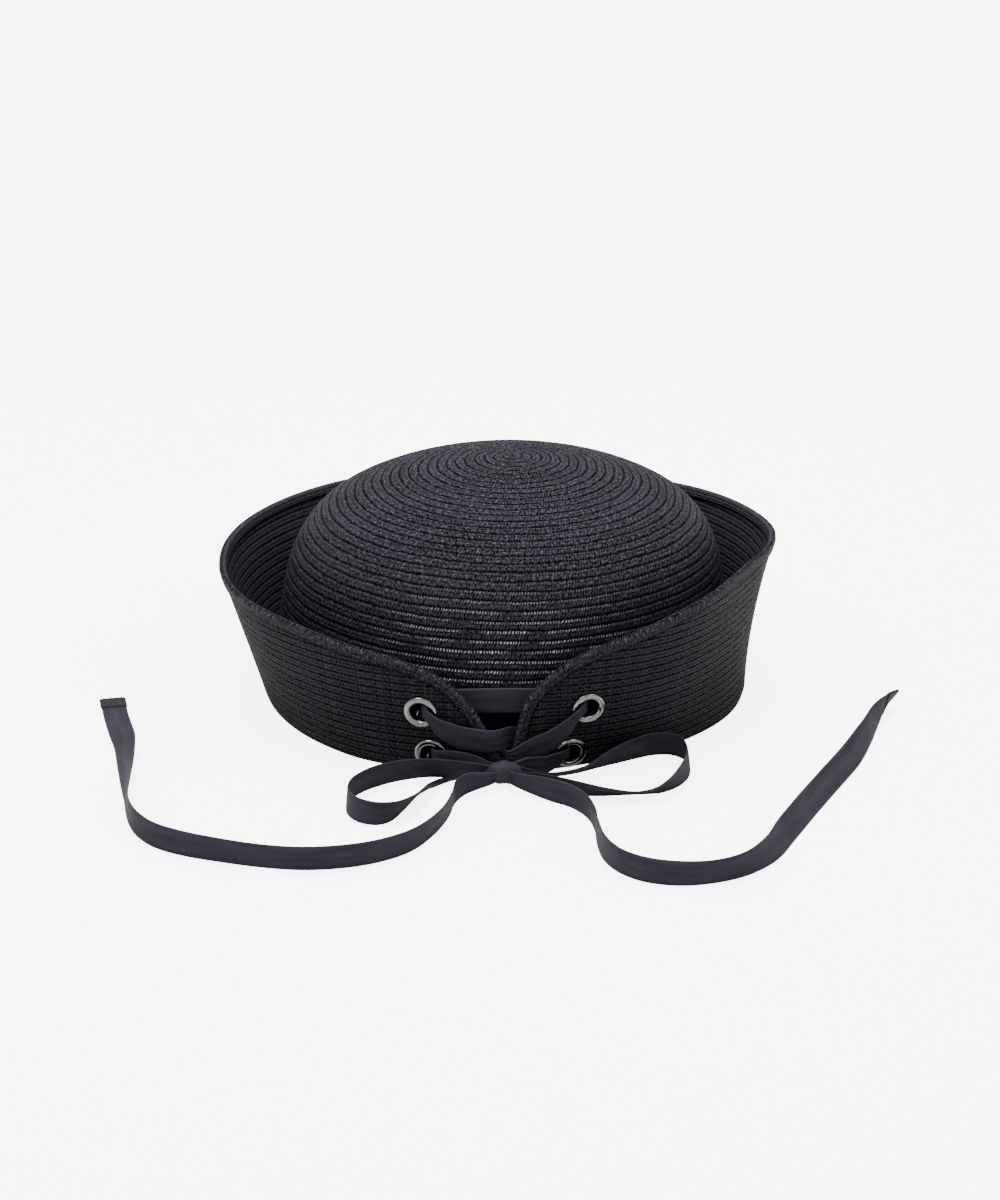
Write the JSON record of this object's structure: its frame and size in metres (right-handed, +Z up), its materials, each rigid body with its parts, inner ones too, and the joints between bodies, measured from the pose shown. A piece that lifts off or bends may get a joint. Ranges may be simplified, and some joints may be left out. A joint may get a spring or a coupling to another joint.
{
  "type": "sailor hat",
  "caption": "Straw sailor hat with a domed crown, a brim folded up all round, and a notched back laced through metal eyelets with a ribbon tied in a bow with long ends",
  "frame": {"origin": "middle of the hat's box on the surface it rests on, the loose ribbon left out", "axes": "+Z up, -Y towards the laced back, +X to the right of someone looking at the laced back"},
  "size_m": [0.329, 0.322, 0.0995],
  "materials": {
    "straw": "woven straw braid, slight sheen",
    "straw_binding": "woven straw braid",
    "gunmetal": "polished dark metal",
    "satin_ribbon": "satin"
  },
  "bodies": {
    "root": {"crown": "straw", "brim": "straw", "rim_binding": "straw_binding", "eyelet_upper_left": "gunmetal", "eyelet_upper_right": "gunmetal", "eyelet_lower_left": "gunmetal", "eyelet_lower_right": "gunmetal", "lace_inner_bar": "satin_ribbon", "lace_upper_left": "satin_ribbon", "lace_upper_right": "satin_ribbon", "lace_lower_left": "satin_ribbon", "lace_lower_right": "satin_ribbon", "bow_knot": "satin_ribbon", "bow_loop_left": "satin_ribbon", "bow_loop_right": "satin_ribbon", "ribbon_tail_left": "satin_ribbon", "ribbon_tail_right": "satin_ribbon"}
  },
  "joints": []
}
